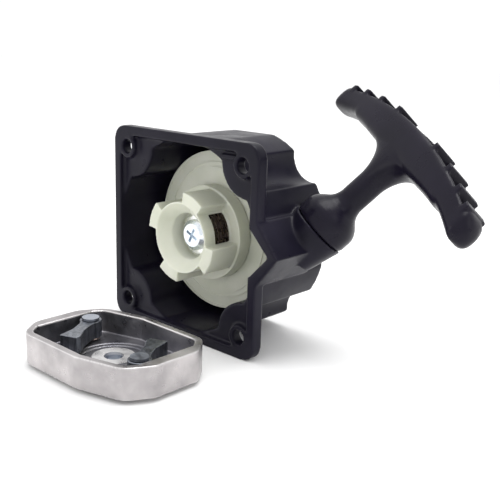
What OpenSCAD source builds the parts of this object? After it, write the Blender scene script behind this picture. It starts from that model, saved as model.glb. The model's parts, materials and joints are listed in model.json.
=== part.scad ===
// Recoil starter: square-flanged shell with a rope reel, a sprung drive claw,
// a T-grip on the rope, and the loose pawl cup that screws onto the crankshaft.
// X right and Z up as seen from the open side, Y runs back into the shell.
// The origin lies on the crank axis in the flange's mounting plane.

/* [Flange] */
// Width of the square flange
flange_w = 77.2; // [74:0.2:80]
// Height of the square flange
flange_h = 78; // [75:0.2:80]
// Thickness of the flange
flange_t = 4.8; // [4:0.2:6]
// Corner radius of the flange
flange_r = 5.5; // [4:0.5:7]
// Spacing of the four mounting holes
hole_pitch = 62; // [60:0.5:64]
// Radius of a mounting hole
hole_r = 2.75; // [2.5:0.05:3]

/* [Shell] */
// Depth of the shell behind the mounting plane
shell_d = 40; // [39:0.5:44]
// Half width of the shell
shell_half = 37.3; // [36.8:0.1:38]
// Wall thickness of the shell
wall = 2.4; // [2:0.1:3]
// Radius of the screwdriver notch round each mounting hole
notch_r = 9.8; // [9:0.1:10.5]
// Radius of the centre post
post_r = 4.5; // [4:0.1:5]

/* [Reel and claw] */
// Radius of the reel's side flanges
reel_r = 31.2; // [31:0.1:33]
// Radius of the reel's core
core_r = 19; // [18:0.5:21]
// Outer radius of the drive claws
claw_r = 17.6; // [17:0.1:18]
// Outer radius of the claw hub
hub_r = 13.6; // [13.4:0.1:14]
// Radius of the mouth that the centre screw sits in
mouth_r = 8.9; // [8.5:0.1:9]

/* [Rope and grip] */
// Diameter of the rope
rope_d = 3; // [2.5:0.1:3.2]
// Half length of the T-grip
grip_half = 52; // [50:0.5:54]
// Distance from the bell's base to the crown of the grip
grip_h = 51; // [46:0.2:52]
// Radius of the bell that seats on the outlet
bell_r = 11.2; // [10.5:0.1:12]

/* [Pawl cup] */
// Length of the pawl cup
cup_l = 59.5; // [58:0.5:61]
// Width of the pawl cup
cup_w = 41.2; // [40:0.2:43]
// Height of the pawl cup's wall
cup_h = 11; // [10:0.5:12]
// Radius of the crankshaft thread in the cup
crank_r = 3.4; // [3:0.1:4]

/* [Hidden] */
$fn = 96;
eps = 0.01;

charcoal = [0.13, 0.125, 0.16];
nylon = [0.86, 0.87, 0.78];
cast = [0.78, 0.77, 0.76];
steel = [0.45, 0.46, 0.5];
zinc = [0.8, 0.86, 0.9];

half_pitch = hole_pitch / 2;
shell_in = shell_half - wall;
shell_back = shell_d - wall;
inner_notch_r = notch_r + wall;
boss_r = 4.6;
corner_r = 38.7;
rim_w = 3.6;
pocket_d = 2.3;
v_tip = [48, 1];
v_half = 11.5;
v_in = 3.2;
v_depth = 29;

run_gap = 0.06;
reel_y = 19.6;
side_t = 1.4;
groove_w = 9;
groove_y = reel_y + side_t;
reel_back = groove_y + groove_w + side_t;
cover_y = 32.2;
cover_t = 0.8;
spring_y = 33.3;
spring_w = 4;
arbor_r = 7;
bush_r = post_r + 1.5;
head_y = 6.2;
head_h = 2.8;
head_r = 6;
washer_t = 1;
post_tip = head_y + head_h + washer_t;
claw_floor = 13.5;
claw_back = reel_y - 0.3;
claw_base_r = 18.4;
spring_pocket_r = 12.9;
inner_tube_r = mouth_r + 0.9;

// The grip's frame: base point, pull direction and bar direction.
grip_at = [44.4, 27, 7.2];
pull = unit([0.548, 0.44, 0.712]);
bar = unit(cross(cross(pull, [0.812, -0.48, -0.33]), pull));
depth_dir = cross(pull, bar);
bush_l = 11;
bush_out_r = 4;
rope_r = rope_d / 2;
coil_out_r = 25.2;
lead_r = coil_out_r + rope_r + 0.3;
lead_from = grip_at - pull * (bush_l + 1);
lead_angle = atan2(lead_from[2], lead_from[0])
    - acos(lead_r / norm([lead_from[0], lead_from[2]]));
coil_tangent = polar(lead_r, lead_angle, groove_y + 4.6);
crown_r = 151;
inner_r = 351;
bar_t = 15;
bar_w = 13;
end_r = 5.2;
end_drop = 13;
rib_at = [14.9, 27, 37, 45];
rib_half = 0.8;
knot_z = grip_h - 14.4;

floor_z = -flange_h / 2;
cup_at = [9, -38.2, floor_z + 1.5];
cup_wall = 2.6;
cup_floor_t = 2.6;
cup_end_t = 4.6;
pawl_at = [20.3, -5.4];
pawl_l = 17.5;
pawl_t = 6;
pawl_pin_r = 2;
pawl_turn = 121;

function unit(v) = v / norm(v);
function polar(r, a, y) = [r * cos(a), y, r * sin(a)];

// A solid drawn in X and Z that runs from y0 to y1.
module slab(y0, y1) {
    translate([0, y1, 0])
        rotate([90, 0, 0])
            linear_extrude(height = y1 - y0)
                children();
}

// A round bar about the crank axis from y0 to y1.
module drum(r, y0, y1) {
    translate([0, y0, 0])
        rotate([-90, 0, 0])
            cylinder(r = r, h = y1 - y0);
}

// A ring about the crank axis.
module ring(r_out, r_in, y0, y1) {
    difference() {
        drum(r_out, y0, y1);
        drum(r_in, y0 - 1, y1 + 1);
    }
}

// Puts a shape drawn about local Z into the grip's frame.
module in_grip() {
    multmatrix([
        [bar[0], depth_dir[0], pull[0], grip_at[0]],
        [bar[1], depth_dir[1], pull[1], grip_at[1]],
        [bar[2], depth_dir[2], pull[2], grip_at[2]],
        [0, 0, 0, 1]])
        children();
}

module rounded_rect(w, h, r) {
    union() {
        square([w - 2 * r, h], center = true);
        square([w, h - 2 * r], center = true);
        for (x = [-1, 1])
            for (y = [-1, 1])
                translate([x * (w / 2 - r), y * (h / 2 - r)])
                    circle(r = r);
    }
}

module at_corners() {
    for (x = [-1, 1])
        for (y = [-1, 1])
            translate([x * half_pitch, y * half_pitch])
                children();
}

// The shell's section, rounded off at its lobes and notched round the four screws.
module shell_section(half, notch) {
    difference() {
        intersection() {
            square(2 * half, center = true);
            circle(r = corner_r - shell_half + half);
        }
        at_corners()
            circle(r = notch);
    }
}

module v_section(inset) {
    polygon([[30, v_tip[1] + v_half - inset], [38.6 - inset, v_tip[1] + v_half - inset],
        [v_tip[0] - 1.4 * inset, v_tip[1]], [38.6 - inset, v_tip[1] - v_half + inset],
        [30, v_tip[1] - v_half + inset]]);
}

module housing() {
    color(charcoal)
        difference() {
            union() {
                slab(0, flange_t)
                    rounded_rect(flange_w, flange_h, flange_r);
                slab(flange_t - eps, shell_d)
                    shell_section(shell_half, notch_r);
                slab(0, v_depth)
                    v_section(0);
                in_grip()
                    translate([0, 0, -13])
                        cylinder(r1 = 8.5, r2 = bell_r, h = 13);
            }
            difference() {
                union() {
                    slab(-1, shell_back)
                        shell_section(shell_in, inner_notch_r);
                    slab(-1, 20)
                        v_section(v_in);
                }
                drum(post_r, post_tip, shell_back + 1);
                ring(16, 14.5, spring_y, shell_back + 1);
            }
            drum(2.2, post_tip - 1, 28);
            difference() {
                slab(-1, pocket_d)
                    rounded_rect(flange_w - 2 * rim_w, flange_h - 2 * rim_w, flange_r - 2.5);
                slab(-2, pocket_d + 1)
                    at_corners()
                        circle(r = boss_r);
            }
            slab(-1, flange_t + 1)
                at_corners()
                    circle(r = hole_r);
            in_grip()
                translate([0, 0, -21])
                    cylinder(r = bush_out_r, h = 23);
            in_grip()
                cylinder(r = bell_r + 0.4, h = 12);
            rope_run(coil_tangent, lead_from, rope_r + 0.6);
        }
}

module outlet_bush() {
    color(zinc)
        in_grip()
            translate([0, 0, -bush_l])
                difference() {
                    cylinder(r = bush_out_r, h = bush_l - 0.1);
                    translate([0, 0, -1])
                        cylinder(r = rope_r + 0.7, h = bush_l + 2);
                }
}

module post_bush() {
    color(steel)
        ring(bush_r, post_r, reel_y, cover_y - 0.2);
}

module spring_cover() {
    color(steel)
        difference() {
            slab(cover_y, cover_y + cover_t)
                intersection() {
                    shell_section(shell_in, inner_notch_r);
                    circle(r = 33);
                }
            drum(arbor_r + 0.6, cover_y - 1, cover_y + 2);
        }
}

// Flat spiral strip, inner end hooked on the reel's arbor.
module recoil_spring() {
    turns = 6;
    steps = 24;
    strip_t = 0.6;
    r0 = arbor_r + 0.7;
    pitch = 0.98;
    path = [for (i = [0:turns * steps]) let (a = i * 360 / steps, r = r0 + pitch * i / steps)
        [r * cos(a), r * sin(a)]];
    back = [for (i = [turns * steps:-1:0]) let (a = i * 360 / steps, r = r0 + pitch * i / steps + strip_t)
        [r * cos(a), r * sin(a)]];
    color(steel)
        slab(spring_y, spring_y + spring_w)
            polygon(concat(path, back));
}

module reel() {
    color(nylon)
        difference() {
            union() {
                drum(reel_r, reel_y, groove_y);
                drum(core_r, reel_y, reel_back);
                drum(reel_r, groove_y + groove_w, reel_back);
                drum(arbor_r, reel_back - eps, spring_y + spring_w);
            }
            drum(bush_r + run_gap, reel_y - 1, cover_y - 0.1);
            drum(post_r + run_gap, reel_y - 1, shell_back + 1);
            ring(reel_r - 0.8, 27, reel_y - 1, reel_y + 0.35);
            ring(26.2, 25, reel_y - 1, reel_y + 0.3);
            translate(polar(core_r - 4, 200, reel_y - 1))
                rotate([-90, 0, 0])
                    cylinder(r = 2.8, h = 8);
        }
}

module reel_knot() {
    color(charcoal)
        translate(polar(core_r - 4, 200, groove_y + 1.6))
            sphere(r = 2.6, $fn = 32);
}

module rope_coil() {
    color(charcoal)
        ring(coil_out_r, core_r, groove_y + 0.3, groove_y + groove_w - 0.3);
}

// A straight run of rope between two points.
module rope_run(from, to, r) {
    run = to - from;
    translate(from)
        rotate([0, acos(run[2] / norm(run)), atan2(run[1], run[0])])
            cylinder(r = r, h = norm(run), $fn = 16);
}

module rope_lead() {
    color(charcoal)
        union() {
            rope_run(coil_tangent, lead_from, rope_r);
            translate(lead_from)
                sphere(r = rope_r + 0.08, $fn = 32);
            rope_run(lead_from, grip_at - pull * 0.1, rope_r);
        }
}

module rope_tail() {
    color(charcoal)
        in_grip()
            cylinder(r = rope_r, h = knot_z - 3, $fn = 16);
}

module handle_knot() {
    color(charcoal)
        in_grip()
            translate([0, 0, knot_z])
                sphere(r = 3.6, $fn = 32);
}

module knot_washer() {
    color(zinc)
        in_grip()
            translate([0, 0, knot_z - 4.6])
                difference() {
                    cylinder(r = 4, h = 1);
                    translate([0, 0, -1])
                        cylinder(r = rope_r + 0.1, h = 3);
                }
}

// The bar seen from its side: a crown arc, a flatter inner arc and round ends.
module bar_outline() {
    end_at = [grip_half - end_r, grip_h - end_drop];
    union() {
        difference() {
            intersection() {
                translate([0, grip_h - crown_r])
                    circle(r = crown_r, $fn = 720);
                translate([-end_at[0], 0])
                    square([2 * end_at[0], grip_h + 1]);
            }
            translate([0, grip_h - bar_t - inner_r])
                circle(r = inner_r, $fn = 1440);
        }
        for (s = [-1, 1])
            translate([s * end_at[0], end_at[1]])
                circle(r = end_r);
    }
}

// The web that spreads the stem into the bar.
module web_outline() {
    difference() {
        translate([-17, 24])
            square([34, 14]);
        for (s = [-1, 1])
            translate([s * 17, 24])
                circle(r = 12.6);
    }
}

// A window in the crown between two distances along the bar.
module crown_window(from, to) {
    a0 = asin(from / crown_r);
    a1 = asin(to / crown_r);
    translate([0, 0, grip_h - crown_r])
        rotate([90, 0, 0])
            rotate([0, 0, 90 - a1])
                rotate_extrude(angle = a1 - a0)
                    translate([crown_r, 0])
                        square([9, 6.4], center = true);
}

module handle() {
    color(charcoal)
        in_grip()
            difference() {
                union() {
                    rotate_extrude()
                        polygon([[0, 0], [bell_r - 0.6, 0], [bell_r, 1], [bell_r, 6], [10.6, 8.5],
                            [8.6, 11.5], [6.3, 14], [5.2, 17], [5, 20], [5, 30], [5.6, 36],
                            [5.6, 42], [0, 42]]);
                    rotate([90, 0, 0])
                        linear_extrude(height = bar_w, center = true)
                            bar_outline();
                    rotate([90, 0, 0])
                        linear_extrude(height = 9, center = true)
                            web_outline();
                }
                crown_window(-rib_at[0] + rib_half, rib_at[0] - rib_half);
                for (i = [0:2])
                    crown_window(rib_at[i] + rib_half, rib_at[i + 1] - rib_half);
                for (i = [0:2])
                    crown_window(-rib_at[i + 1] + rib_half, -rib_at[i] - rib_half);
                translate([0, 0, -1])
                    cylinder(r = rope_r + 0.2, h = grip_h);
                translate([0, 0, knot_z - 4.6])
                    cylinder(r = 4.2, h = 20);
            }
}

module claw_sector(a, half) {
    intersection() {
        circle(r = claw_r);
        polygon([[0, 0], 30 * [cos(a - half), sin(a - half)], 30 * [cos(a), sin(a)],
            30 * [cos(a + half), sin(a + half)]]);
    }
}

module drive_claw() {
    color(nylon)
        difference() {
            union() {
                drum(hub_r, 0, claw_back);
                drum(claw_base_r, claw_floor, claw_back);
                slab(0, claw_floor + eps)
                    for (k = [0:3])
                        claw_sector(67.5 + 90 * k, 18);
            }
            translate([0, -eps, 0])
                rotate([-90, 0, 0])
                    cylinder(r1 = hub_r - 0.5, r2 = mouth_r, h = 4.3);
            drum(mouth_r, 4, post_tip + 0.3);
            drum(post_r + run_gap, 5, claw_back + 1);
            ring(spring_pocket_r, inner_tube_r, 5.2, claw_back + 1);
            slab(5.6, 13.1)
                for (k = [0:3])
                    intersection() {
                        difference() {
                            circle(r = hub_r + 1);
                            circle(r = hub_r - 2);
                        }
                        polygon([[0, 0], 30 * [cos(90 * k - 4), sin(90 * k - 4)],
                            30 * [cos(90 * k + 21), sin(90 * k + 21)],
                            30 * [cos(90 * k + 46), sin(90 * k + 46)]]);
                    }
            translate(polar(11.3, 66, -1))
                rotate([0, 24, 0])
                    cube([3.4, 8, 1], center = true);
        }
}

// A round wire wound about an axis: centre line radius, wire radius, turns and pitch.
module wire_coil(r, wire, turns, pitch, steps, sides) {
    count = turns * steps;
    points = [for (i = [0:count]) for (j = [0:sides - 1])
        let (a = 360 * i / steps, b = 360 * j / sides, q = r + wire * cos(b))
            [q * cos(a), q * sin(a), pitch * i / steps + wire * sin(b)]];
    sides_list = [for (i = [0:count - 1]) for (j = [0:sides - 1])
        let (k = (j + 1) % sides)
            [i * sides + j, i * sides + k, (i + 1) * sides + k, (i + 1) * sides + j]];
    caps = [[for (j = [sides - 1:-1:0]) j], [for (j = [0:sides - 1]) count * sides + j]];
    polyhedron(points = points, faces = concat(sides_list, caps), convexity = 8);
}

module buffer_spring() {
    color(steel)
        translate([0, 6.2, 0])
            rotate([-90, 0, 0])
                wire_coil(11.85, 0.75, 6, 1.9, 24, 8);
}

module screw_washer() {
    color(zinc)
        ring(7.6, 2.3, head_y + head_h, post_tip);
}

module centre_screw() {
    color(zinc)
        difference() {
            union() {
                translate([0, head_y, 0])
                    rotate([-90, 0, 0])
                        cylinder(r1 = 4.4, r2 = head_r, h = 1.2);
                drum(head_r, head_y + 1.2, head_y + head_h);
                drum(2.2, head_y + 1, 27.5);
            }
            for (a = [25, 115])
                translate([0, head_y, 0])
                    rotate([0, a, 0])
                        cube([6, 3, 1.1], center = true);
        }
}

// The cup's outline: a rounded block whose four corners are cut unequally.
module cup_outline(inset) {
    x = cup_l / 2 - 7;
    y = cup_w / 2 - 7;
    offset(r = 7 - inset, $fn = 96)
        polygon([[x, 9.5], [19.5, y], [-6, y], [-20, 9.8], [-x, 5],
            [-x, -9.5], [-19.5, -y], [6, -y], [20, -9.8], [x, -5]]);
}

module in_cup() {
    translate(cup_at)
        children();
}

module pawl_cup() {
    color(cast)
        in_cup()
            difference() {
                union() {
                    linear_extrude(height = cup_h)
                        cup_outline(0);
                    translate([0, 0, -1.5])
                        cylinder(r = 9, h = 3);
                    for (s = [-1, 1])
                        translate([s * pawl_at[0], s * pawl_at[1], -1.5])
                            cylinder(r = 4.5, h = 3);
                }
                translate([0, 0, cup_floor_t])
                    linear_extrude(height = cup_h)
                        intersection() {
                            cup_outline(cup_wall);
                            square([cup_l - 2 * cup_end_t, cup_w], center = true);
                        }
                for (r = [12, 14.5])
                    translate([0, 0, cup_floor_t - 0.4])
                        difference() {
                            cylinder(r = r, h = 2);
                            translate([0, 0, -1])
                                cylinder(r = r - 1, h = 4);
                        }
                translate([0, 0, -3])
                    cylinder(r = 5.5, h = 12);
                for (s = [-1, 1])
                    translate([s * pawl_at[0], s * pawl_at[1], -3])
                        cylinder(r = pawl_pin_r, h = 12);
                for (s = [-1, 1])
                    translate([s * pawl_at[0], s * pawl_at[1], -2])
                        cylinder(r = 3.6, h = 1.5);
            }
}

module crank_insert() {
    color(steel)
        in_cup()
            translate([0, 0, -1.5])
                difference() {
                    cylinder(r = 5.5, h = 1.5 + cup_floor_t);
                    translate([0, 0, -1])
                        cylinder(r = crank_r, h = 9);
                }
}

module cup_washer() {
    color(cast)
        in_cup()
            translate([0, 0, cup_floor_t])
                difference() {
                    cylinder(r = 7.5, h = 1);
                    translate([0, 0, -1])
                        cylinder(r = crank_r, h = 4);
                }
}

// One pawl in its own frame: pivot at the origin, beak along X.
module pawl_plan() {
    difference() {
        union() {
            circle(r = 4);
            polygon([[0, -3.6], [5, -2.2], [11, -2.2], [pawl_l, -4], [pawl_l + 1, 2.6],
                [pawl_l - 1, 3.4], [11, 2.2], [5, 2.4], [0, 3.8]]);
        }
        circle(r = pawl_pin_r + 0.05);
    }
}

module pawl(turn) {
    in_cup()
        rotate([0, 0, turn])
            translate([pawl_at[0], pawl_at[1], cup_floor_t + 1.5])
                rotate([0, 0, pawl_turn])
                    linear_extrude(height = pawl_t)
                        pawl_plan();
}

module pawl_pin(turn) {
    color(zinc)
        in_cup()
            rotate([0, 0, turn])
                translate([pawl_at[0], pawl_at[1], -1])
                    union() {
                        cylinder(r = pawl_pin_r, h = cup_floor_t + 1.5 + pawl_t + 1.2);
                        translate([0, 0, cup_floor_t + 1.5 + pawl_t + 1.2])
                            cylinder(r = pawl_pin_r + 1.1, h = 0.8);
                    }
}

module pawl_spring(turn) {
    color(steel)
        in_cup()
            rotate([0, 0, turn])
                translate([pawl_at[0], pawl_at[1], cup_floor_t + 0.45])
                    wire_coil(3.2, 0.3, 1, 0.7, 20, 6);
}

module pawl_a() {
    color(steel)
        pawl(180);
}

module pawl_b() {
    color(steel)
        pawl(0);
}

module pawl_pin_a() {
    pawl_pin(180);
}

module pawl_pin_b() {
    pawl_pin(0);
}

module pawl_spring_a() {
    pawl_spring(180);
}

module pawl_spring_b() {
    pawl_spring(0);
}

module pawl_clips() {
    color(zinc)
        in_cup()
            for (s = [-1, 1])
                translate([s * pawl_at[0], s * pawl_at[1], -1.4])
                    difference() {
                        cylinder(r = 3.4, h = 0.7);
                        translate([0, 0, -1])
                            cylinder(r = pawl_pin_r, h = 3);
                    }
}

housing();
outlet_bush();
post_bush();
spring_cover();
recoil_spring();
reel();
reel_knot();
rope_coil();
rope_lead();
rope_tail();
handle();
handle_knot();
knot_washer();
drive_claw();
buffer_spring();
screw_washer();
centre_screw();
pawl_cup();
crank_insert();
cup_washer();
pawl_a();
pawl_b();
pawl_pin_a();
pawl_pin_b();
pawl_spring_a();
pawl_spring_b();
pawl_clips();
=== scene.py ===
import json
from math import copysign, cos, pi, sin, sqrt

import bmesh
import bpy
from mathutils import Matrix, Vector


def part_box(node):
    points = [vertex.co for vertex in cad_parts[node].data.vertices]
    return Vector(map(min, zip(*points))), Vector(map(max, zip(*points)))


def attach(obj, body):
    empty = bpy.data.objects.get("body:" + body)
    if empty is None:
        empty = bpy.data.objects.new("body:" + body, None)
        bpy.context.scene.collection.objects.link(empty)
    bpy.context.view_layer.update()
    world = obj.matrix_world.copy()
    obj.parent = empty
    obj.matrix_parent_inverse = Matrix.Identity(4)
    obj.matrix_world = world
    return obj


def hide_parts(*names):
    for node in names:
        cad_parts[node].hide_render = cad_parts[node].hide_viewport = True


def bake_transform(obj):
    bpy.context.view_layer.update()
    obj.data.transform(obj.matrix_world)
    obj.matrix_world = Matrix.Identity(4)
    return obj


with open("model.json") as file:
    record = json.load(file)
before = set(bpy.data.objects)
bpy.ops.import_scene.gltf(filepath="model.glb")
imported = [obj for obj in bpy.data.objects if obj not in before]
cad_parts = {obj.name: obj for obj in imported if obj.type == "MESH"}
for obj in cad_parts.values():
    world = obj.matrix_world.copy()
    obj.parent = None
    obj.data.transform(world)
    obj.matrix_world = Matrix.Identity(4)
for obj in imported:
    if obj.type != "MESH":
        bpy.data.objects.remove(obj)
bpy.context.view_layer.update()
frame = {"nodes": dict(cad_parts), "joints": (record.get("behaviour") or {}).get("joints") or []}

MM = 0.001
NODES = frame["nodes"]
JOINTS = {joint["name"]: joint for joint in frame["joints"]}

# Places that the frame gives.
PULL = Vector(JOINTS["handle_pull"]["axis"]).normalized()
BAR_GUIDE = Vector((0.812, -0.48, -0.33))
BAR = PULL.cross(BAR_GUIDE).cross(PULL).normalized()
DEPTH = PULL.cross(BAR)
FLOOR_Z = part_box("housing")[0][2]

# The grip's sizes in millimetres, measured from the bell's base along the pull.
KNOT_HEIGHT = 36.6
CROWN = 51.0
CROWN_RADIUS = 151.0
BAR_END = 46.8
TIP_LENGTH = 5.0
BAR_THICKNESS = 14.8
BAR_HALF_WIDTH = 6.2
STEM_RADIUS = 4.9
FILLET_RADIUS = 12.2
FILLET_HEIGHT = 24.0
FILLET_REACH = 17.0
RIBS = (14.9, 27.0, 37.0, 45.0)
RIB_HALF = 1.2
RIB_REACH = 5.5
RIB_DEPTH = 6.0
RIB_PROUD = 0.3
CHANNEL_END = 44.5
CHANNEL_HALF = 4.2
CHANNEL_DEPTH = 4.6
# The channel's wall on the open side is drawn this much lower, so that the windows show.
LOW_WALL = 1.7
# Radius and height of the bell's rounded profile, from its base to the stem.
BELL = ((10.2, 0.1), (10.8, 0.7), (11.0, 1.6), (11.0, 5.0), (10.8, 6.4), (10.2, 7.8), (9.2, 9.2),
        (7.9, 10.5), (6.6, 11.7), (5.7, 13.1), (5.1, 15.0), (4.9, 18.0))
KNOT_PLACE = sum((Vector(corner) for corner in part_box("handle_knot")), Vector()) / 2
BELL_BASE = KNOT_PLACE - PULL * KNOT_HEIGHT * MM

# The pawl cup's sizes in millimetres.
CUP_CENTRE = Vector((9.0, -38.2))
CUP_RIM = -26.5
RIM_LIP = 0.8

# The rope in the grip: its radius and the height of its braid, in millimetres.
ROPE_RADIUS = 1.45
BRAID = 0.12

# The peg by the upper right screw boss, in millimetres.
PEG_ROOT = Vector((27.5, 2.4, 33.0))
PEG_LENGTH = 8.0
PEG_RADIUS = 1.1

# The photographer's place in millimetres, the picture's right and up, and the lens.
CAMERA_PLACE = Vector((212.9, -194.9, 71.3))
CAMERA_RIGHT = Vector((0.734, 0.678, 0.032))
CAMERA_UP = Vector((-0.194, 0.165, 0.967))
LENS_MM = 56.88


# ---------------------------------------------------------------- materials

class Look:
    """A node material: a Principled shader, object coordinates and short calls that add to it."""

    def __init__(self, name, roughness, metallic=0.0, coat=0.0, coat_roughness=0.2, specular=0.5):
        self.material = bpy.data.materials.new(name)
        self.material.use_nodes = True
        self.tree = self.material.node_tree
        self.shader = self.tree.nodes["Principled BSDF"]
        self.shader.inputs["Roughness"].default_value = roughness
        self.shader.inputs["Metallic"].default_value = metallic
        self.shader.inputs["Coat Weight"].default_value = coat
        self.shader.inputs["Coat Roughness"].default_value = coat_roughness
        self.shader.inputs["Specular IOR Level"].default_value = specular
        self.place = self.tree.nodes.new("ShaderNodeTexCoord").outputs["Object"]
        self.height = None

    def link(self, a, b):
        self.tree.links.new(a, b)

    def noise(self, scale, detail=3.0, roughness=0.5, stretch=None):
        """A noise whose cells are about 1 / scale metres wide."""
        node = self.tree.nodes.new("ShaderNodeTexNoise")
        node.inputs["Scale"].default_value = scale
        node.inputs["Detail"].default_value = detail
        node.inputs["Roughness"].default_value = roughness
        place = self.place
        if stretch:
            mapping = self.tree.nodes.new("ShaderNodeMapping")
            mapping.inputs["Scale"].default_value = stretch
            self.link(place, mapping.inputs["Vector"])
            place = mapping.outputs["Vector"]
        self.link(place, node.inputs["Vector"])
        return node.outputs["Fac"]

    def ramp(self, value, *stops):
        """Colours or greys at places along a value from 0 to 1."""
        node = self.tree.nodes.new("ShaderNodeValToRGB")
        elements = node.color_ramp.elements
        while len(elements) < len(stops):
            elements.new(0.5)
        for element, (place, colour) in zip(elements, stops):
            element.position = place
            element.color = (*colour, 1) if isinstance(colour, tuple) else (colour, colour, colour, 1)
        self.link(value, node.inputs["Fac"])
        return node.outputs["Color"]

    def mix(self, factor, a, b, blend="MIX"):
        node = self.tree.nodes.new("ShaderNodeMix")
        node.data_type = "RGBA"
        node.blend_type = blend
        for socket, value in ((node.inputs["Factor"], factor), (node.inputs["A"], a), (node.inputs["B"], b)):
            if isinstance(value, (int, float, tuple)):
                socket.default_value = (*value, 1) if isinstance(value, tuple) else value
            else:
                self.link(value, socket)
        return node.outputs["Result"]

    def edges(self, low=0.52, high=0.6):
        """White along sharp convex edges."""
        point = self.tree.nodes.new("ShaderNodeNewGeometry").outputs["Pointiness"]
        return self.ramp(point, (low, 0.0), (high, 1.0))

    def colour(self, value):
        self.link(value, self.shader.inputs["Base Color"])

    def roughness(self, value):
        self.link(value, self.shader.inputs["Roughness"])

    def bump(self, value, distance, strength=1.0):
        node = self.tree.nodes.new("ShaderNodeBump")
        node.inputs["Distance"].default_value = distance
        node.inputs["Strength"].default_value = strength
        self.link(value, node.inputs["Height"])
        if self.height:
            self.link(self.height, node.inputs["Normal"])
        self.height = node.outputs["Normal"]
        self.link(self.height, self.shader.inputs["Normal"])


def moulded_plastic(name, dark, light, roughness):
    """Satin charcoal plastic with a fine moulding grain and rubbed edges."""
    look = Look(name, roughness, specular=0.14)
    patches = look.noise(45, 4)
    body = look.mix(look.ramp(patches, (0.35, 0.0), (0.7, 1.0)), dark, light)
    look.colour(look.mix(look.edges(0.55, 0.72), body, tuple(c * 1.7 for c in light)))
    look.roughness(look.ramp(look.noise(160, 5), (0.3, roughness - 0.06), (0.75, roughness + 0.1)))
    look.bump(look.noise(2600, 2), 0.00003, 0.5)
    look.bump(look.noise(60, 2), 0.0002, 0.25)
    return look.material


def nylon():
    """Cream nylon: slightly translucent, greyer in patches, with a soft sheen."""
    look = Look("cream_nylon", 0.42, coat=0.1, coat_roughness=0.4)
    patches = look.ramp(look.noise(70, 4), (0.35, 0.0), (0.7, 1.0))
    look.colour(look.mix(patches, (0.6, 0.62, 0.51), (0.7, 0.71, 0.61)))
    look.shader.inputs["Subsurface Weight"].default_value = 0.35
    look.shader.inputs["Subsurface Radius"].default_value = (0.004, 0.004, 0.003)
    look.shader.inputs["Subsurface Scale"].default_value = 1.0
    look.roughness(look.ramp(look.noise(220, 4), (0.3, 0.36), (0.8, 0.52)))
    look.bump(look.noise(1500, 2), 0.00003, 0.4)
    look.bump(look.noise(110, 2), 0.00015, 0.3)
    return look.material


def cast_aluminium(name, dark, light):
    """Light grey casting: a sandy skin, faint warm stains and brighter worn edges."""
    look = Look(name, 0.42, metallic=0.92)
    stains = look.ramp(look.noise(55, 5), (0.35, 0.0), (0.7, 1.0))
    skin = look.mix(stains, dark, light)
    look.colour(look.mix(look.edges(0.51, 0.58), skin, (0.85, 0.84, 0.84)))
    look.roughness(look.ramp(look.noise(300, 5), (0.3, 0.24), (0.75, 0.5)))
    look.bump(look.noise(1300, 4, 0.65), 0.00008, 0.6)
    look.bump(look.noise(180, 3), 0.0002, 0.35)
    return look.material


def steel(name, dark, light, roughness, grain=(1, 1, 1)):
    """Bare or plated steel with fine directional marks."""
    look = Look(name, roughness, metallic=1.0)
    marks = look.ramp(look.noise(700, 4, 0.6, grain), (0.3, 0.0), (0.75, 1.0))
    skin = look.mix(marks, dark, light)
    look.colour(look.mix(look.edges(0.52, 0.62), skin, tuple(min(1.0, c * 1.5) for c in light)))
    look.roughness(look.ramp(look.noise(500, 4), (0.3, max(0.05, roughness - 0.1)), (0.8, roughness + 0.14)))
    look.bump(look.noise(900, 4, 0.6, grain), 0.00003, 0.5)
    return look.material


def braided_rope():
    """Black braided cord: dark fibres with a paler fleck."""
    look = Look("braided_rope", 0.8, specular=0.3)
    look.shader.inputs["Sheen Weight"].default_value = 0.4
    fibres = look.noise(2400, 3, 0.6)
    look.colour(look.ramp(fibres, (0.35, (0.012, 0.012, 0.014)), (0.75, (0.07, 0.07, 0.08))))
    look.roughness(look.ramp(fibres, (0.3, 0.7), (0.8, 0.92)))
    look.bump(fibres, 0.0001, 0.7)
    return look.material


def studio_floor():
    look = Look("studio_floor", 0.6, specular=0.2)
    look.colour(look.ramp(look.noise(3, 2), (0.3, 0.96), (0.8, 0.98)))
    return look.material


SHELL = moulded_plastic("shell_plastic", (0.0062, 0.0055, 0.0115), (0.011, 0.0095, 0.019), 0.33)
GRIP = moulded_plastic("grip_plastic", (0.0062, 0.0053, 0.011), (0.011, 0.0092, 0.018), 0.3)
NYLON = nylon()
CAST = cast_aluminium("cast_aluminium", (0.3, 0.285, 0.29), (0.58, 0.55, 0.55))
# A darker copy of the casting for the cup's inside and its washer: painted shade, not a different finish.
CAST_PAINTED_SHADE = cast_aluminium("cast_painted_shade", (0.12, 0.12, 0.14), (0.42, 0.41, 0.43))
ZINC = steel("zinc_plate", (0.62, 0.7, 0.78), (0.86, 0.9, 0.94), 0.26)
PAWL = steel("pawl_steel", (0.1, 0.105, 0.12), (0.3, 0.32, 0.36), 0.36, (1, 1, 0.2))
SPRING = steel("spring_steel", (0.05, 0.04, 0.035), (0.2, 0.16, 0.14), 0.3)
ROPE = braided_rope()


# ---------------------------------------------------------------- mesh tools

def add_object(name, mesh, material):
    """A new shown piece."""
    piece = bpy.data.objects.new(name, mesh)
    bpy.context.scene.collection.objects.link(piece)
    mesh.materials.clear()
    mesh.materials.append(material)
    return piece


def mesh_from(bm, name):
    mesh = bpy.data.meshes.new(name)
    bm.normal_update()
    bm.to_mesh(mesh)
    bm.free()
    for face in mesh.polygons:
        face.use_smooth = True
    return mesh


def apply_modifiers(piece):
    graph = bpy.context.evaluated_depsgraph_get()
    mesh = bpy.data.meshes.new_from_object(piece.evaluated_get(graph))
    piece.modifiers.clear()
    piece.data = mesh
    for face in mesh.polygons:
        face.use_smooth = True


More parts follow.
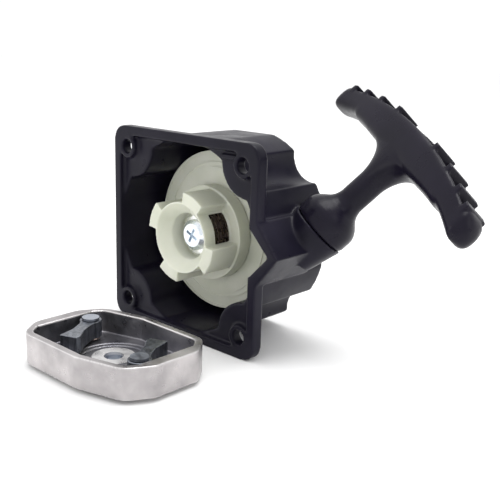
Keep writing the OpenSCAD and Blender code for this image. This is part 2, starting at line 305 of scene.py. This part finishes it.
def remesh(piece, voxel):
    modifier = piece.modifiers.new("remesh", "REMESH")
    modifier.mode = "VOXEL"
    modifier.voxel_size = voxel


def soften(piece, rounds):
    modifier = piece.modifiers.new("smooth", "SMOOTH")
    modifier.factor = 0.5
    modifier.iterations = rounds


def moulded(node, voxel, rounds, material, body):
    """A copy of a CAD node with every edge rounded as a mould leaves it, standing for that node."""
    copy = NODES[node].data.copy()
    piece = add_object(node + "_moulded", copy, material)
    remesh(piece, voxel)
    soften(piece, rounds)
    apply_modifiers(piece)
    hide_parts(node)
    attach(piece, body)
    return piece


def finish_cad(node, material):
    """Gives a CAD node its material."""
    data = NODES[node].data
    data.materials.clear()
    data.materials.append(material)


def tube(name, path, radius, sides, twist=0.0, ridge=0.0, ridges=8):
    """A tube mesh along a path of points; ridge and twist raise the strands of a braid."""
    bm = bmesh.new()
    rings = []
    side = Vector((0, 0, 1)).cross(path[1] - path[0])
    for i, point in enumerate(path):
        along = (path[min(i + 1, len(path) - 1)] - path[max(i - 1, 0)]).normalized()
        side = (side - along * side.dot(along)).normalized()
        up = along.cross(side)
        ring = []
        for j in range(sides):
            angle = 2 * pi * j / sides
            lift = ridge * abs(sin(ridges * angle / 2 + twist * i)) if ridge else 0.0
            ring.append(bm.verts.new(point + (side * cos(angle) + up * sin(angle)) * (radius - ridge + lift)))
        rings.append(ring)
    for a, b in zip(rings, rings[1:]):
        for j in range(sides):
            k = (j + 1) % sides
            bm.faces.new((a[j], a[k], b[k], b[j]))
    bm.faces.new(list(reversed(rings[0])))
    bm.faces.new(rings[-1])
    bmesh.ops.recalc_face_normals(bm, faces=bm.faces)
    return mesh_from(bm, name)


# ---------------------------------------------------------------- camera and studio

def make_camera():
    """The photographer's place: right of the open side and a little above it."""
    right = CAMERA_RIGHT.normalized()
    up = (CAMERA_UP - right * CAMERA_UP.dot(right)).normalized()
    back = right.cross(up)
    data = bpy.data.cameras.new("camera")
    data.sensor_width = 36
    data.lens = LENS_MM
    data.clip_start = 0.01
    camera = bpy.data.objects.new("camera", data)
    place = Matrix((right, up, back)).transposed().to_4x4()
    place.translation = CAMERA_PLACE * MM
    camera.matrix_world = place
    bpy.context.scene.collection.objects.link(camera)
    bpy.context.scene.camera = camera


def area_light(name, place, size, power):
    """A soft white light aimed at the part."""
    data = bpy.data.lights.new(name, "AREA")
    data.shape = "RECTANGLE"
    data.size, data.size_y = size
    data.energy = power
    light = bpy.data.objects.new(name, data)
    light.location = place
    light.rotation_euler = (-Vector(place)).to_track_quat("-Z", "Y").to_euler()
    bpy.context.scene.collection.objects.link(light)


def make_studio():
    """A plain white floor, a white surround and three soft lights."""
    bm = bmesh.new()
    bmesh.ops.create_grid(bm, x_segments=2, y_segments=2, size=4)
    for vert in bm.verts:
        vert.co.z = FLOOR_Z
    floor = bpy.data.objects.new("studio_floor", mesh_from(bm, "studio_floor"))
    floor.data.materials.append(studio_floor())
    bpy.context.scene.collection.objects.link(floor)
    world = bpy.data.worlds.new("world")
    world.use_nodes = True
    world.node_tree.nodes["Background"].inputs["Color"].default_value = (1, 1, 1, 1)
    world.node_tree.nodes["Background"].inputs["Strength"].default_value = 1.05
    bpy.context.scene.world = world
    bpy.context.scene.view_settings.view_transform = "Standard"
    area_light("overhead", (0.05, 0.15, 0.75), (0.5, 0.5), 4.2)
    area_light("front_left", (-0.5, -0.6, 0.35), (0.4, 0.4), 0.8)
    area_light("right", (0.75, 0.1, 0.35), (0.3, 0.5), 0.45)


# ---------------------------------------------------------------- pieces

def make_moulded():
    """The moulded and cast pieces; the cup's inside is darker than its outside, a painted shade in its
    hollow.
    """
    moulded("housing", 0.0005, 9, SHELL, "shell")
    moulded("drive_claw", 0.0003, 3, NYLON, "claw")
    cup = moulded("pawl_cup", 0.00035, 3, CAST, "cup")
    # Sunk faces inside the cup that face inward or upward take the darker copy: painted shade in the recess.
    cup.data.materials.append(CAST_PAINTED_SHADE)
    for face in cup.data.polygons:
        inward = CUP_CENTRE - Vector((face.center.x, face.center.y)) / MM
        facing = Vector((face.normal.x, face.normal.y)).dot(inward.normalized())
        sunk = face.center.z / MM < CUP_RIM - RIM_LIP
        if sunk and (facing > 0.3 or face.normal.z > 0.6):
            face.material_index = 1
    moulded("pawl_a", 0.0002, 3, PAWL, "pawl_one")
    moulded("pawl_b", 0.0002, 3, PAWL, "pawl_two")


def make_pull_rope():
    """The rope from inside the shell to the knot in the grip."""
    inner = BELL_BASE - PULL * 11 * MM
    steps = 160
    path = [inner + (KNOT_PLACE - inner) * i / steps for i in range(steps + 1)]
    mesh = tube("pull_rope", path, ROPE_RADIUS * MM, 24, twist=0.35, ridge=BRAID * MM)
    rope = add_object("pull_rope", mesh, ROPE)
    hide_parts("rope_tail")
    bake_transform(rope)


def in_grip(x, y, z):
    """A place in the grip's own frame, in millimetres: along the bar, across it, and along the pull."""
    return BELL_BASE + (BAR * x + DEPTH * y + PULL * z) * MM


def smooth_step(low, high, value):
    t = min(1.0, max(0.0, (value - low) / (high - low)))
    return t * t * (3 - 2 * t)


def crown_height(x):
    """The height of the bar's crown at a distance along the bar."""
    return CROWN - CROWN_RADIUS + sqrt(CROWN_RADIUS ** 2 - x ** 2)


def loft(bm, rings):
    """Skins closed rings of equal count and caps both ends."""
    skins = [[bm.verts.new(point) for point in ring] for ring in rings]
    for a, b in zip(skins, skins[1:]):
        for j in range(len(a)):
            k = (j + 1) % len(a)
            bm.faces.new((a[j], a[k], b[k], b[j]))
    bm.faces.new(list(reversed(skins[0])))
    bm.faces.new(skins[-1])


def oval(half_a, half_b, power, count=48):
    """Points of a superellipse."""
    points = []
    for j in range(count):
        c = cos(2 * pi * j / count)
        s = sin(2 * pi * j / count)
        a = copysign(abs(c) ** (2 / power), c) * half_a
        b = copysign(abs(s) ** (2 / power), s) * half_b
        points.append((a, b))
    return points


def bar_thickness(reach):
    """The bar's thickness: full over the stem, stepped thinner past the fingers."""
    return BAR_THICKNESS - 3.6 * smooth_step(8, 40, reach) - 0.9 * smooth_step(31, 35, reach)


def bar_ring(x):
    """A section across the bar, with the channel that the ribs cross sunk in its crown."""
    reach = abs(x)
    tip = min(1.0, max(0.0, (reach - BAR_END) / TIP_LENGTH))
    close = max(0.08, sqrt(1.0 - tip * tip))
    thick = bar_thickness(reach)
    wide = BAR_HALF_WIDTH - 0.7 * smooth_step(20, 45, reach)
    top = crown_height(reach)
    middle = top - thick / 2
    points = []
    power = 3.4 if close > 0.9 else 2.6
    for across, up in oval(wide * close, thick / 2 * close, power, 120):
        height = middle + up
        if up > 0 and reach < CHANNEL_END:
            if abs(across) < CHANNEL_HALF:
                height = min(height, top - CHANNEL_DEPTH)
            elif across < 0:
                height = min(height, top - LOW_WALL)
        points.append(in_grip(x, across, height))
    return points


def stem_ring(z):
    """A section across the stem, which spreads along the bar as it meets it."""
    half_x = STEM_RADIUS
    if z > FILLET_HEIGHT:
        fillet = sqrt(max(0.0, FILLET_RADIUS ** 2 - (z - FILLET_HEIGHT) ** 2))
        half_x = max(half_x, FILLET_REACH - fillet)
    half_y = STEM_RADIUS + 0.9 * smooth_step(FILLET_HEIGHT, 37, z)
    return [in_grip(a, b, z) for a, b in oval(half_x, half_y, 2.2)]


def bell_ring(radius, z):
    """A circle round the pull axis."""
    return [in_grip(radius * cos(2 * pi * j / 64), radius * sin(2 * pi * j / 64), z) for j in range(64)]


def block(bm, x0, x1, half_y, below, above):
    """A block that follows the crown between two places along the bar."""
    steps = 8
    rings = []
    for i in range(steps + 1):
        x = x0 + (x1 - x0) * i / steps
        top = crown_height(x)
        rings.append([in_grip(x, y, top + z) for y, z in
                      ((-half_y, -below), (half_y, -below), (half_y, above), (-half_y, above))])
    loft(bm, rings)


def make_grip():
    """The T-grip: bell, flared stem, arched bar with ribs across its crown and windows between them."""
    bm = bmesh.new()
    reach = BAR_END + TIP_LENGTH
    places = [reach * sin(pi / 2 * i / 120) for i in range(-120, 121)]
    loft(bm, [bar_ring(x) for x in places])
    loft(bm, [stem_ring(12 + 27 * i / 54) for i in range(55)])
    loft(bm, [bell_ring(radius, z) for radius, z in BELL])
    for rib in RIBS:
        for side in (-1, 1):
            middle = side * rib
            block(bm, middle - RIB_HALF, middle + RIB_HALF, RIB_REACH, RIB_DEPTH, RIB_PROUD)
    bmesh.ops.recalc_face_normals(bm, faces=bm.faces)
    grip = add_object("grip", mesh_from(bm, "grip"), GRIP)
    remesh(grip, 0.0004)
    soften(grip, 3)
    apply_modifiers(grip)
    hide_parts("handle")
    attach(grip, "grip")


def make_shell_peg():
    """A short moulded peg beside the upper right screw boss."""
    steps = 12
    path = [(PEG_ROOT - Vector((PEG_LENGTH * i / steps, 0, 0))) * MM for i in range(steps + 1)]
    mesh = tube("shell_peg", path, PEG_RADIUS * MM, 24)
    peg = add_object("shell_peg", mesh, SHELL)
    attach(peg, "shell")


def make_cad_finishes():
    """Materials for the CAD nodes that are shown as they are, and for the pawls behind their copies."""
    finishes = {
        ZINC: ("outlet_bush", "knot_washer", "screw_washer", "centre_screw", "pawl_clips"),
        SPRING: ("post_bush", "spring_cover", "recoil_spring", "buffer_spring",
                 "pawl_spring_a", "pawl_spring_b"),
        NYLON: ("reel",),
        ROPE: ("reel_knot", "rope_coil", "rope_lead", "handle_knot"),
        # The washer inside the cup takes the darker copy of the casting too: painted shade.
        CAST_PAINTED_SHADE: ("cup_washer",),
        PAWL: ("pawl_a", "pawl_b", "pawl_pin_a", "pawl_pin_b", "crank_insert"),
    }
    for material, nodes in finishes.items():
        for node in nodes:
            finish_cad(node, material)


make_camera()
make_studio()
make_cad_finishes()
make_moulded()
make_grip()
make_pull_rope()
make_shell_peg()

bpy.context.view_layer.update()
